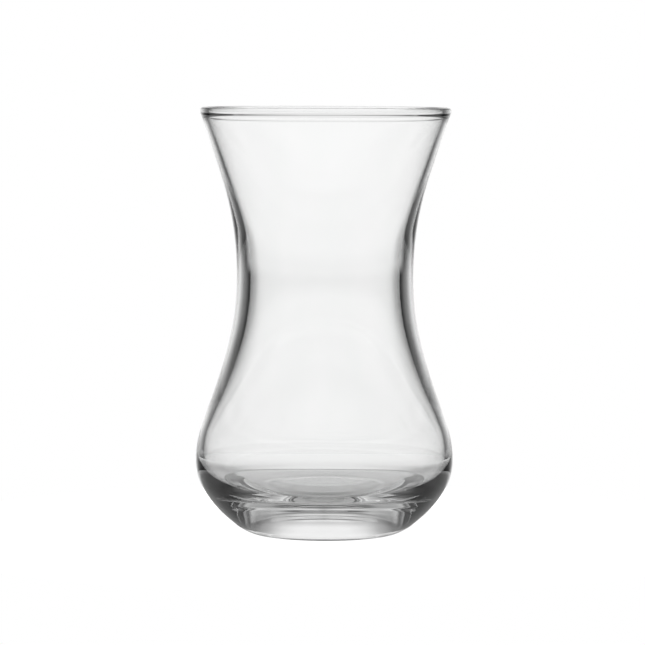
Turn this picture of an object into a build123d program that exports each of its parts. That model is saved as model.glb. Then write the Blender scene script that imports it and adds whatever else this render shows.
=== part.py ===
from build123d import *
from math import atan2, cos, degrees, radians, sin, sqrt
import os

# Clear tea glass with a full belly, a drawn-in waist and a flared mouth, all one piece of glass.
# Millimetres. +Z is the axis of the glass, and the origin is the middle of the foot's bearing plane.

# Heights of the stations along the wall, each counted from the one below it
heel_height = 2.08  # where the foot's round edge meets the straight band above it
band_above_heel = 1.72  # where the band runs into the belly
belly_above_band = 13.6  # the widest ring
shoulder_above_belly = 14.25  # where the wall turns from bulging to hollow
waist_above_shoulder = 28.55  # the narrowest ring
flare_above_waist = 23.2
rim_above_flare = 16.6

# Outside radius at each station
foot_radius = 15.2  # outer edge of the flat ring that the glass stands on
heel_radius = 20.65
band_radius = 22.7
belly_radius = 30.2
shoulder_radius = 26.64
waist_radius = 20.65
flare_radius = 24.17
rim_radius = 29.4

# Slope of the outer wall, in degrees: the heel's up from the table, the others out from the vertical
heel_slope = 36.0  # a little flatter than the band, so that a faint ring shows between them
shoulder_slope = -20.4
flare_slope = 17.45
lip_slope = 20.8

# Wall thickness at each station, and the slope of the inner wall there
belly_wall = 1.76
shoulder_wall = 2.1
waist_wall = 3.1
flare_wall = 1.55
rim_wall = 1.4
inner_belly_rise = 0.95  # the widest inner ring lies this far above the widest outer one
inner_waist_drop = 1.1  # and the narrowest inner ring this far below the narrowest outer one
inner_shoulder_slope = -25.0
inner_flare_slope = 19.0
inner_lip_slope = 18.5

# Floor inside: a very shallow dish with a softly rolled edge, and a round corner up to the belly
base_thickness = 9.8  # from the table to the middle of the floor
floor_rise = 0.45
floor_slope = -1.0
floor_inset = 1.8  # from the floor's edge out to the middle of the corner
corner_inset = 2.84  # from there out to the widest inner ring
corner_above_floor = 1.82
corner_slope = 43.65

# Fire-polished lip: a round bead that swells inwards, with a soft hollow under it
lip_swell = 0.6
lip_blend = 1.0

# Underside: a flat bearing ring around a shallow push-up
bearing_width = 2.7
punt_depth = 0.8

level = 0.0
upright = 90.0
same_heading = 1e-9  # two headings closer than this count as parallel

band_height = heel_height + band_above_heel
belly_height = band_height + belly_above_band
shoulder_height = belly_height + shoulder_above_belly
waist_height = shoulder_height + waist_above_shoulder
flare_height = waist_height + flare_above_waist
height = flare_height + rim_above_flare


def heading(angle):
    """Unit vector this many degrees up from the radius."""
    return Vector(cos(radians(angle)), sin(radians(angle)))


def curve(start, start_angle, end, end_angle):
    """Two arcs that leave one point at its angle, reach the other at its own, and touch each other between."""
    leave = heading(start_angle)
    arrive = heading(end_angle)
    chord = end - start
    along = chord.dot(leave + arrive)
    square = chord.dot(chord)
    turn = 2 * (1 - leave.dot(arrive))
    if turn > same_heading:
        reach = (sqrt(along**2 + turn * square) - along) / turn
    else:
        reach = square / (2 * along)
    first_corner = start + leave * reach
    second_corner = end - arrive * reach
    middle = (first_corner + second_corner) * 0.5
    TangentArc(start, middle, tangent=leave)
    TangentArc(middle, end, tangent=second_corner - first_corner)


# Outer stations, each a radius and a height, and the wall's angle at those that lean
foot = Vector(foot_radius, 0)
heel = Vector(heel_radius, heel_height)
band = Vector(band_radius, band_height)
band_slope = degrees(atan2(band_height - heel_height, band_radius - heel_radius))
belly = Vector(belly_radius, belly_height)
shoulder = Vector(shoulder_radius, shoulder_height)
waist = Vector(waist_radius, waist_height)
flare = Vector(flare_radius, flare_height)
shoulder_angle = upright - shoulder_slope
flare_angle = upright - flare_slope
lip_angle = upright - lip_slope

# The bead's circle, and where the outer wall runs onto it
bead_radius = (rim_wall + lip_swell) / 2
bead_center = Vector(rim_radius - bead_radius, height - bead_radius)
bead_outer = bead_center + heading(lip_angle - upright) * bead_radius
bead_top = bead_center + Vector(0, bead_radius)

# The hollow under the bead: an arc that touches both the bead and the straight top of the inner wall
inner_lip_angle = upright - inner_lip_slope
inward = heading(inner_lip_angle + upright)
blend_offset = rim_wall - bead_radius + lip_blend
blend_drop = sqrt((bead_radius + lip_blend) ** 2 - blend_offset**2)
blend_center = bead_center + inward * blend_offset - heading(inner_lip_angle) * blend_drop
inner_lip = blend_center - inward * lip_blend
bead_inner = bead_center + (blend_center - bead_center).normalized() * bead_radius
blend_middle = blend_center + ((inner_lip + bead_inner) * 0.5 - blend_center).normalized() * lip_blend

# Inner stations
inner_flare = Vector(flare_radius - flare_wall, flare_height)
inner_waist = Vector(waist_radius - waist_wall, waist_height - inner_waist_drop)
inner_shoulder = Vector(shoulder_radius - shoulder_wall, shoulder_height)
inner_belly = Vector(belly_radius - belly_wall, belly_height + inner_belly_rise)
inner_flare_angle = upright - inner_flare_slope
inner_shoulder_angle = upright - inner_shoulder_slope
corner = Vector(inner_belly.X - corner_inset, base_thickness + corner_above_floor)
floor_middle = Vector(0, base_thickness)
floor_edge = Vector(corner.X - floor_inset, base_thickness + floor_rise)

# Underside stations
punt_edge = Vector(foot_radius - bearing_width, 0)
punt_middle = Vector(0, punt_depth)

with BuildPart() as tea_glass:
    with BuildSketch(Plane.XZ) as section:
        with BuildLine() as outline:
            # Outside, from the foot up to the lip
            Line(punt_edge, foot)
            curve(foot, level, heel, heel_slope)
            Line(heel, band)
            curve(band, band_slope, belly, upright)
            curve(belly, upright, shoulder, shoulder_angle)
            curve(shoulder, shoulder_angle, waist, upright)
            curve(waist, upright, flare, flare_angle)
            curve(flare, flare_angle, bead_outer, lip_angle)
            # Lip
            ThreePointArc(bead_outer, bead_top, bead_inner)
            ThreePointArc(bead_inner, blend_middle, inner_lip)
            # Inside, from the floor up to the lip
            curve(floor_middle, level, floor_edge, floor_slope)
            curve(floor_edge, floor_slope, corner, corner_slope)
            curve(corner, corner_slope, inner_belly, upright)
            curve(inner_belly, upright, inner_shoulder, inner_shoulder_angle)
            curve(inner_shoulder, inner_shoulder_angle, inner_waist, upright)
            curve(inner_waist, upright, inner_flare, inner_flare_angle)
            curve(inner_flare, inner_flare_angle, inner_lip, inner_lip_angle)
            # Axis and underside
            Line(floor_middle, punt_middle)
            curve(punt_middle, level, punt_edge, level)
        make_face()
    revolve(axis=Axis.Z)

tea_glass.part.label = "tea_glass"

os.makedirs("parts", exist_ok=True)
export_step(tea_glass.part, "parts/tea_glass.step")
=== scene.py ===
import math

import bpy
import numpy as np
from mathutils import Matrix, Vector


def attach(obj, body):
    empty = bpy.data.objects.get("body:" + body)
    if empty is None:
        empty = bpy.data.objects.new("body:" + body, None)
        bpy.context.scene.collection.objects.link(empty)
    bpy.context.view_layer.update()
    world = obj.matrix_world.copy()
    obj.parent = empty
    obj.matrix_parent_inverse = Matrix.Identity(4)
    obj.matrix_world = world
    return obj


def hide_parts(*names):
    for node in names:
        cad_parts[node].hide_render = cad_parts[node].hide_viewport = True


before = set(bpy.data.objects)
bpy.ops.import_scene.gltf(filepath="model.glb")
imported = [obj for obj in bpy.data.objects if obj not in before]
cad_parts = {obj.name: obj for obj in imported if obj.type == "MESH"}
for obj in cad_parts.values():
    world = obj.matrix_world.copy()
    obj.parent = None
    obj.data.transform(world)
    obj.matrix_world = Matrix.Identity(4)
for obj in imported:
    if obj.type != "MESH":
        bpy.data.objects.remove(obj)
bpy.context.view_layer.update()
scene = bpy.context.scene
scene.view_settings.view_transform = "Standard"
millimetre = 0.001
fullTurn = 2.0 * math.pi


# The glass in mm. A station is a radius, a height and the wall's angle in degrees up from the radius
glass = {
    "foot": (15.2, 0.0, 0.0),
    "heel": (20.65, 2.08, 36.0),
    "bandFoot": (20.65, 2.08, 40.0),  # a little steeper than the heel, so that a faint ring shows
    "band": (22.7, 3.8, 40.0),
    "belly": (30.2, 17.4, 90.0),
    "shoulder": (26.64, 31.65, 110.4),
    "waist": (20.65, 60.2, 90.0),
    "flare": (24.17, 83.4, 72.55),
    "lipAngle": 69.2,
    "innerBelly": (28.44, 18.35, 90.0),
    "innerShoulder": (24.54, 31.65, 115.0),
    "innerWaist": (17.55, 59.1, 90.0),
    "innerFlare": (22.62, 83.4, 71.0),
    "innerLipAngle": 71.5,
    "rimRadius": 29.4,
    "height": 100.0,
    "rimWall": 1.4,
    "lipSwell": 0.6,
    "lipBlend": 1.0,
    "floorMiddle": 9.8,
    "floorEdge": (23.8, 10.25, -1.0),
    "corner": (25.6, 11.62, 43.65),
    "bearingWidth": 2.7,
    "puntDepth": 0.8,
    "floorWaves": ((0.03, 9.0, 300.0), (0.008, 4.0, 90.0)),  # height, wavelength and start in degrees
    "waveFade": ((7.5, 0.0), (10.0, 1.0), (19.0, 1.0), (22.5, 0.0)),  # radius and share of the height
    "profilePoints": 220,
    "floorPoints": 96,
    "columns": 300,
    "turnWeight": 5.0,  # a radian of turning gets as many points as this length of straight wall
}

flatCurve = 1e-7  # curvature per mm below which an arc is drawn as a line
sameHeading = 1e-9  # two headings closer than this count as parallel
samePoint = 1e-6  # two points closer than this count as one
nearFloor = 1.0  # the floor's points lie within this height of its middle


# Unit vector that many degrees up from the radius
def heading(angle):
    return np.array([math.cos(math.radians(angle)), math.sin(math.radians(angle))])


# Arc that leaves start along a direction and ends at a point: its curvature is twice the chord's part
# across the direction over the chord squared, and it turns by twice the angle from direction to chord
def arcPoints(start, leave, end, count=120):
    chord = end - start
    across = np.array([-leave[1], leave[0]])
    curvature = 2.0 * (across @ chord) / (chord @ chord)
    share = np.linspace(0.0, 1.0, count)
    if abs(curvature) < flatCurve:
        return start + share[:, None] * chord
    turn = 2.0 * math.atan2(across @ chord, leave @ chord)
    angle = math.atan2(leave[1], leave[0]) + share * turn
    centre = start + across / curvature
    return centre + np.stack([np.sin(angle), -np.cos(angle)], 1) / curvature


# Two arcs that leave one station at its angle, reach the next at its own, and touch each other half way
def wallPoints(first, second):
    start, end = np.array(first[:2]), np.array(second[:2])
    leave, arrive = heading(first[2]), heading(second[2])
    chord = end - start
    along = chord @ (leave + arrive)
    square = chord @ chord
    turn = 2.0 * (1.0 - leave @ arrive)
    if turn > sameHeading:
        reach = (math.sqrt(along * along + turn * square) - along) / turn
    else:
        reach = square / (2.0 * along)
    firstCorner = start + leave * reach
    secondCorner = end - arrive * reach
    middle = (firstCorner + secondCorner) / 2.0
    between = (secondCorner - firstCorner) / np.linalg.norm(secondCorner - firstCorner)
    return np.concatenate([arcPoints(start, leave, middle), arcPoints(middle, between, end)])


# Runs of wall through a list of stations, each joined to the next
def runPoints(stations):
    return np.concatenate([wallPoints(a, b) for a, b in zip(stations, stations[1:])])


# Arc of a circle: centre plus radius times cosine and sine of the angles between two limits
def circlePoints(centre, radius, startAngle, endAngle, count=80):
    angle = np.radians(np.linspace(startAngle, endAngle, count))
    return centre + radius * np.stack([np.cos(angle), np.sin(angle)], 1)


# Outline of the glass, from the middle of the underside up the outside, over the lip and down to the
# middle of the floor. The lip is a round bead, and the hollow under it touches bead and inner wall
def glassOutline(size):
    outerNames = ("bandFoot", "band", "belly", "shoulder", "waist", "flare")
    innerNames = ("floorEdge", "corner", "innerBelly", "innerShoulder", "innerWaist", "innerFlare")
    beadRadius = (size["rimWall"] + size["lipSwell"]) / 2.0
    beadCentre = np.array([size["rimRadius"] - beadRadius, size["height"] - beadRadius])
    beadOuter = beadCentre + beadRadius * heading(size["lipAngle"] - 90.0)
    inward = heading(size["innerLipAngle"] + 90.0)
    blendOffset = size["rimWall"] - beadRadius + size["lipBlend"]
    blendDrop = math.sqrt((beadRadius + size["lipBlend"]) ** 2 - blendOffset**2)
    blendCentre = beadCentre + inward * blendOffset - heading(size["innerLipAngle"]) * blendDrop
    innerLip = blendCentre - inward * size["lipBlend"]
    toBlend = math.degrees(math.atan2(*(blendCentre - beadCentre)[::-1])) % 360.0
    toWall = math.degrees(math.atan2(*(innerLip - blendCentre)[::-1]))
    puntMiddle = (0.0, size["puntDepth"], 0.0)
    puntEdge = (size["foot"][0] - size["bearingWidth"], 0.0, 0.0)
    floorMiddle = (0.0, size["floorMiddle"], 0.0)
    outerLip = (*beadOuter, size["lipAngle"])
    underside = runPoints([puntMiddle, puntEdge, size["foot"], size["heel"]])
    outside = runPoints([size[name] for name in outerNames] + [outerLip])
    bead = circlePoints(beadCentre, beadRadius, size["lipAngle"] - 90.0, toBlend)
    hollow = circlePoints(blendCentre, size["lipBlend"], toBlend - 180.0, toWall)
    innerStart, innerEnd = [floorMiddle], [(*innerLip, size["innerLipAngle"])]
    inside = runPoints(innerStart + [size[name] for name in innerNames] + innerEnd)
    return np.concatenate([underside, outside, bead, hollow, inside[::-1]])


# Points spread along an outline so that tight turns get more: the spacing follows length plus turning
def spreadPoints(points, size):
    step = np.linalg.norm(np.diff(points, axis=0), axis=1)
    points = points[np.concatenate([[True], step > samePoint])]
    piece = np.diff(points, axis=0)
    length = np.linalg.norm(piece, axis=1)
    angle = np.unwrap(np.arctan2(piece[:, 1], piece[:, 0]))
    turning = np.concatenate([[0.0], np.abs(np.diff(angle))])
    travel = np.concatenate([[0.0], np.cumsum(length + size["turnWeight"] * turning)])
    wanted = np.linspace(0.0, travel[-1], size["profilePoints"])
    return np.stack([np.interp(wanted, travel, points[:, k]) for k in (0, 1)], 1)


# The floor drawn again with closer points and the faint rings that the plunger left: each wave adds its
# height times the cosine of a whole turn per wavelength, faded out towards the middle and the edge
def ringedFloor(points, size):
    reach = size["floorEdge"][0]
    onFloor = (points[:, 0] < reach) & (np.abs(points[:, 1] - size["floorMiddle"]) < nearFloor)
    rest, floor = points[~onFloor], points[onFloor]
    radius = np.linspace(reach, 0.0, size["floorPoints"])
    height = np.interp(radius, floor[::-1, 0], floor[::-1, 1])
    fade = np.interp(radius, *zip(*size["waveFade"]))
    for lift, length, start in size["floorWaves"]:
        height = height + fade * lift * np.cos(fullTurn * radius / length + math.radians(start))
    return np.concatenate([rest, np.stack([radius, height], 1)])


# A new object in the scene, left at the origin
def addObject(name, data):
    item = bpy.data.objects.new(name, data)
    scene.collection.objects.link(item)
    return item


# Outline carried round the axis: radius times cosine and sine of the turn, with one pole at each end
def turnedMesh(name, outline, columns):
    turn = np.linspace(0.0, fullTurn, columns, endpoint=False)
    ring = outline[1:-1]
    x = ring[:, 0, None] * np.cos(turn)
    y = ring[:, 0, None] * np.sin(turn)
    z = np.broadcast_to(ring[:, 1, None], x.shape)
    body = np.stack([x, y, z], 2).reshape(-1, 3)
    poles = np.array([[0.0, 0.0, outline[0, 1]], [0.0, 0.0, outline[-1, 1]]])
    points = np.concatenate([body, poles]) * millimetre
    rows = len(ring)
    here = np.arange(columns)
    after = (here + 1) % columns
    low = np.arange(rows - 1)[:, None] * columns
    high = low + columns
    quads = np.stack([low + here, low + after, high + after, high + here], 2).reshape(-1, 4)
    lowPole, highPole = rows * columns, rows * columns + 1
    top = (rows - 1) * columns
    lowFan = np.stack([np.full(columns, lowPole), after, here], 1)
    highFan = np.stack([np.full(columns, highPole), top + here, top + after], 1)
    mesh = bpy.data.meshes.new(name)
    mesh.from_pydata(points.tolist(), [], quads.tolist() + lowFan.tolist() + highFan.tolist())
    mesh.polygons.foreach_set("use_smooth", np.ones(len(mesh.polygons), bool))
    mesh.update()
    return addObject(name, mesh)


glassProfile = ringedFloor(spreadPoints(glassOutline(glass), glass), glass)
teaGlass = turnedMesh("teaGlass", glassProfile, glass["columns"])
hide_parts("tea_glass")
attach(teaGlass, "root")
print("glass turned,", len(teaGlass.data.polygons), "faces")


# A node whose sockets, by name or number, get a value or another node's output
def addNode(tree, kind, sockets=None, **settings):
    node = tree.nodes.new(kind)
    for name, value in settings.items():
        setattr(node, name, value)
    for place, value in (sockets or {}).items():
        if isinstance(value, bpy.types.NodeSocket):
            tree.links.new(value, node.inputs[place])
        else:
            node.inputs[place].default_value = value
    return node


# Result of one arithmetic step on one, two or three values
def addMath(tree, operation, *values):
    return addNode(tree, "ShaderNodeMath", dict(enumerate(values)), operation=operation).outputs[0]


# Colour that runs through pairs of place, from 0 to 1, and colour
def addColours(tree, value, stops):
    ramp = addNode(tree, "ShaderNodeValToRGB", {"Fac": value})
    elements = ramp.color_ramp.elements
    while len(elements) < len(stops):
        elements.new(0.5)
    for element, (place, colour) in zip(elements, stops):
        element.position = place
        element.color = colour
    return ramp.outputs["Color"]


# Level that runs through pairs of place and level, for a value between two limits
def addRamp(tree, value, stops, low, high):
    share = addMath(tree, "MULTIPLY_ADD", value, 1.0 / (high - low), -low / (high - low))
    greys = [((place - low) / (high - low), (level, level, level, 1.0)) for place, level in stops]
    return addColours(tree, share, greys)


# First value where the gate is 0, second where it is 1
def addMix(tree, gate, first, second):
    return addMath(tree, "MULTIPLY_ADD", gate, addMath(tree, "SUBTRACT", second, first), first)


# A material with no nodes yet, and its tree
def emptyMaterial(name):
    material = bpy.data.materials.new(name)
    material.use_nodes = True
    material.node_tree.nodes.clear()
    return material, material.node_tree


# Clear soda-lime glass, fire-polished. Faint upright cords left from the melt are a little tinted and wavy
clearGlass = {
    "tint": ((0.35, (1.0, 1.0, 1.0, 1.0)), (0.7, (0.985, 0.99, 0.987, 1.0))),  # place in the noise, colour
    "cordScale": (120.0, 120.0, 22.0),  # per metre, so that the cords run along the axis
    "cordDetail": 2.0,
    "waveStrength": 0.05,
    "waveDepth": 0.00002,  # metres
    "ior": 1.52,
    "roughness": 0.0,
}


# Noise stretched along the axis picks the tint and tilts the surface, and shadow rays pass straight through
def clearGlassMaterial(finish):
    material, tree = emptyMaterial("clearGlass")
    place = addNode(tree, "ShaderNodeTexCoord").outputs["Object"]
    stretch = addNode(tree, "ShaderNodeMapping", {"Vector": place, "Scale": finish["cordScale"]})
    cords = addNode(tree, "ShaderNodeTexNoise", {
        "Vector": stretch.outputs["Vector"],
        "Scale": 1.0,
        "Detail": finish["cordDetail"],
    }).outputs[0]
    waves = addNode(tree, "ShaderNodeBump", {
        "Strength": finish["waveStrength"],
        "Distance": finish["waveDepth"],
        "Height": cords,
    })
    shader = addNode(tree, "ShaderNodeBsdfPrincipled", {
        "Base Color": addColours(tree, cords, finish["tint"]),
        "Normal": waves.outputs["Normal"],
        "Roughness": finish["roughness"],
        "IOR": finish["ior"],
        "Transmission Weight": 1.0,
    })
    letThrough = addNode(tree, "ShaderNodeBsdfTransparent")
    shadow = addNode(tree, "ShaderNodeLightPath").outputs["Is Shadow Ray"]
    mix = addNode(tree, "ShaderNodeMixShader", {0: shadow, 1: shader.outputs[0], 2: letThrough.outputs[0]})
    addNode(tree, "ShaderNodeOutputMaterial", {"Surface": mix.outputs[0]})
    return material


teaGlass.data.materials.append(clearGlassMaterial(clearGlass))
print("glass material set")


# Studio: a lit white sheet stands behind the glass and fades out to both sides, the table is white, a soft
# light hangs overhead, and the rest of the room is dark. Three more white sheets light the views from the
# sides and from behind, and are seen only by rays that go straight through the glass.
# The room's ramps are pairs of degrees and level, either round from straight behind or up from level
studio = {
    "sheet": ((0, 1.0), (13, 1.0), (16, 0.92), (19, 0.72), (22, 0.49),
              (26, 0.37), (31, 0.19), (38, 0.15), (48, 0.03), (60, 0.0)),
    "sheetTop": ((0, 0.9), (6, 0.95), (10, 0.91), (13, 0.79), (16, 0.64), (19, 0.52),
                 (22, 0.34), (26, 0.2), (31, 0.08), (38, 0.1), (48, 0.02), (60, 0.0)),
    "sheetBlend": (3, 12),  # from here to there the sheet turns into its top
    "dipHeight": ((8, 0.0), (11, 0.22), (13, 0.22), (15, 0.0)),  # a darker patch on the sheet
    "dipWidth": ((12, 1.0), (16, 0.0)),
    "table": ((0, 1.0), (8, 1.0), (14, 0.96), (20, 0.42), (28, 0.13), (38, 0.03), (48, 0.5), (60, 0.9)),
    "tableEdge": (-12.8, -7.8),  # from here to there the table turns into the sheet
    "ceiling": ((0, 0.7), (8, 1.0), (20, 1.0), (40, 0.8), (60, 0.8), (90, 0.45), (180, 0.7)),
    "ceilingHeight": ((22, 0.6), (29, 0.14), (34, 0.9), (42, 0.67), (60, 0.77), (70, 0.33)),
    "ceilingEdge": (19.4, 22.4),  # from here to there the sheet turns into the overhead light
    "sideSheets": (
        {
            "turn": -90,
            "width": ((13, 0.95), (20, 0.6), (30, 0.2), (45, 0.0)),
            "height": ((-40, 1.0), (14, 1.0), (20, 0.0)),
        },
        {
            "turn": -48,
            "width": ((14, 0.95), (18, 0.5), (21, 0.0)),
            "height": ((-18, 1.0), (-13, 0.0)),
        },
        {
            "turn": 135,
            "width": ((13, 0.95), (20, 0.6), (30, 0.2), (45, 0.0)),
            "height": ((-6, 1.0), (4, 0.0)),
        },
    ),
    "straightDepth": 1.5,  # a straight ray is only one step deeper than its passes through glass
}


# Light of the room by direction: round is the arc tangent of x over y, and up is the arc sine of z
def studioWorld(settings):
    world = bpy.data.worlds.new("studio")
    scene.world = world
    world.use_nodes = True
    tree = world.node_tree
    tree.nodes.clear()
    direction = addNode(tree, "ShaderNodeTexCoord").outputs["Generated"]
    part = addNode(tree, "ShaderNodeSeparateXYZ", {"Vector": direction}).outputs
    turn = addMath(tree, "DEGREES", addMath(tree, "ARCTAN2", part["X"], part["Y"]))
    aside = addMath(tree, "ABSOLUTE", turn)
    height = addMath(tree, "DEGREES", addMath(tree, "ARCSINE", part["Z"]))

    # Levels by the angle round and by the angle up, and a gate that opens between two heights
    def around(stops, angle=aside):
        return addRamp(tree, angle, stops, 0.0, 180.0)

    def upward(stops):
        return addRamp(tree, height, stops, -90.0, 90.0)

    def above(edge):
        return upward(((edge[0], 0.0), (edge[1], 1.0)))

    dip = addMath(tree, "MULTIPLY", upward(settings["dipHeight"]), around(settings["dipWidth"]))
    low, top = around(settings["sheet"]), around(settings["sheetTop"])
    plain = addMix(tree, above(settings["sheetBlend"]), low, top)
    sheet = addMath(tree, "MULTIPLY", plain, addMath(tree, "SUBTRACT", 1.0, dip))
    ceiling = addMath(tree, "MULTIPLY", around(settings["ceiling"]), upward(settings["ceilingHeight"]))
    overTable = addMix(tree, above(settings["ceilingEdge"]), sheet, ceiling)
    room = addMix(tree, above(settings["tableEdge"]), around(settings["table"]), overTable)
    path = addNode(tree, "ShaderNodeLightPath").outputs
    turned = addMath(tree, "SUBTRACT", path["Ray Depth"], path["Transmission Depth"])
    straight = addMath(tree, "LESS_THAN", turned, settings["straightDepth"])
    through = addMath(tree, "MULTIPLY", straight, path["Is Transmission Ray"])
    for side in settings["sideSheets"]:
        offset = addMath(tree, "ABSOLUTE", addMath(tree, "SUBTRACT", turn, side["turn"]))
        level = addMath(tree, "MULTIPLY", around(side["width"], offset), upward(side["height"]))
        room = addMath(tree, "MAXIMUM", room, addMath(tree, "MULTIPLY", level, through))
    shown = addMath(tree, "MAXIMUM", room, path["Is Camera Ray"])
    background = addNode(tree, "ShaderNodeBackground", {"Color": shown, "Strength": 1.0})
    addNode(tree, "ShaderNodeOutputWorld", {"Surface": background.outputs[0]})


studioWorld(studio)


# Pale floor under the foot, with painted light of its own. Its glows are pairs of metres from the axis and
# level: the near glow stays low with a darker ring, a painted shadow of the glass, and the far glow is
# dimmed at the sides, painted shade, by pairs of degrees round from straight behind and level
studioFloor = {
    "radius": 0.1,
    "columns": 96,
    "colour": (0.8, 0.8, 0.8, 1.0),
    # Painted shadow of the glass: a low glow under and around the foot, darker still in a ring under the
    # foot's ring
    "nearGlowPaintedShadow": ((0.0, 0.15), (0.011, 0.15), (0.013, 0.04), (0.015, 0.04),
                 (0.018, 0.15), (0.045, 0.15), (0.06, 0.0)),
    # Painted light that starts at nothing by the glass and rises outwards, so that the floor near the foot
    # is a painted shadow
    "farGlow": ((0.045, 0.0), (0.056, 0.4), (0.064, 0.62), (0.08, 0.72), (0.1, 0.0)),
    "edgeGlow": ((0.08, 0.0), (0.1, 0.74)),
    # Painted shade: the far glow is dimmed towards the sides
    "sides": ((38, 1.0), (50, 0.3), (75, 0.3), (95, 1.0)),
    "white": 0.8,  # added for the camera alone, so that the floor shows white
}


# Level of the floor's own painted light: near glow (painted shadow) plus edge glow plus the far glow times
# its dimming (painted shade)
def paleFloorMaterial(settings):
    material, tree = emptyMaterial("paleFloor")
    place = addNode(tree, "ShaderNodeTexCoord").outputs["Object"]
    reach = addNode(tree, "ShaderNodeVectorMath", {0: place}, operation="LENGTH").outputs["Value"]
    part = addNode(tree, "ShaderNodeSeparateXYZ", {"Vector": place}).outputs
    turn = addMath(tree, "DEGREES", addMath(tree, "ARCTAN2", part["X"], part["Y"]))
    # Painted shade that dims the far glow towards the sides
    sides = addRamp(tree, addMath(tree, "ABSOLUTE", turn), settings["sides"], 0.0, 180.0)

    # Levels by the distance from the axis
    def outward(stops):
        return addRamp(tree, reach, stops, 0.0, settings["radius"])

    # Painted shadow near the foot plus the painted glow at the disc's edge
    steady = addMath(tree, "ADD", outward(settings["nearGlowPaintedShadow"]), outward(settings["edgeGlow"]))
    glow = addMath(tree, "MULTIPLY_ADD", outward(settings["farGlow"]), sides, steady)
    seen = addNode(tree, "ShaderNodeLightPath").outputs["Is Camera Ray"]
    strength = addMath(tree, "MULTIPLY_ADD", seen, settings["white"], glow)
    diffuse = addNode(tree, "ShaderNodeBsdfDiffuse", {"Color": settings["colour"]})
    light = addNode(tree, "ShaderNodeEmission", {"Color": (1.0, 1.0, 1.0, 1.0), "Strength": strength})
    both = addNode(tree, "ShaderNodeAddShader", {0: diffuse.outputs[0], 1: light.outputs[0]})
    addNode(tree, "ShaderNodeOutputMaterial", {"Surface": both.outputs[0]})
    return material


# A flat disc: radius times cosine and sine of the turn
def paleFloor(settings):
    turn = np.linspace(0.0, fullTurn, settings["columns"], endpoint=False)
    edge = settings["radius"] * np.stack([np.cos(turn), np.sin(turn), 0.0 * turn], 1)
    mesh = bpy.data.meshes.new("floor")
    mesh.from_pydata(edge.tolist(), [], [list(range(len(edge)))])
    mesh.materials.append(paleFloorMaterial(settings))
    floor = addObject("floor", mesh)


paleFloor(studioFloor)
print("studio set")


# Camera: its place before the glass in metres, the height of its aim, and the picture's turn in degrees
camera = {
    "distance": 0.8526,
    "height": 0.10714,
    "aimHeight": 0.04954,
    "aside": -0.000556,
    "roll": 0.225,
    "focalPixels": 3644.3,
    "picturePixels": 645,
    "sensor": 36.0,
    "clip": (0.01, 50.0),
}


# The lens is the focal length in pixels over the picture's width, times the sensor's width
def photoCamera(settings):
    data = bpy.data.cameras.new("camera")
    data.sensor_width = settings["sensor"]
    data.lens = settings["focalPixels"] / settings["picturePixels"] * settings["sensor"]
    data.clip_start, data.clip_end = settings["clip"]
    place = Vector((settings["aside"], -settings["distance"], settings["height"]))
    aim = Vector((settings["aside"], 0.0, settings["aimHeight"]))
    turn = (aim - place).to_track_quat("-Z", "Y").to_matrix().to_4x4()
    roll = Matrix.Rotation(math.radians(settings["roll"]), 4, "Z")
    item = addObject("camera", data)
    item.matrix_world = Matrix.Translation(place) @ turn @ roll
    scene.camera = item


photoCamera(camera)
print("camera set")
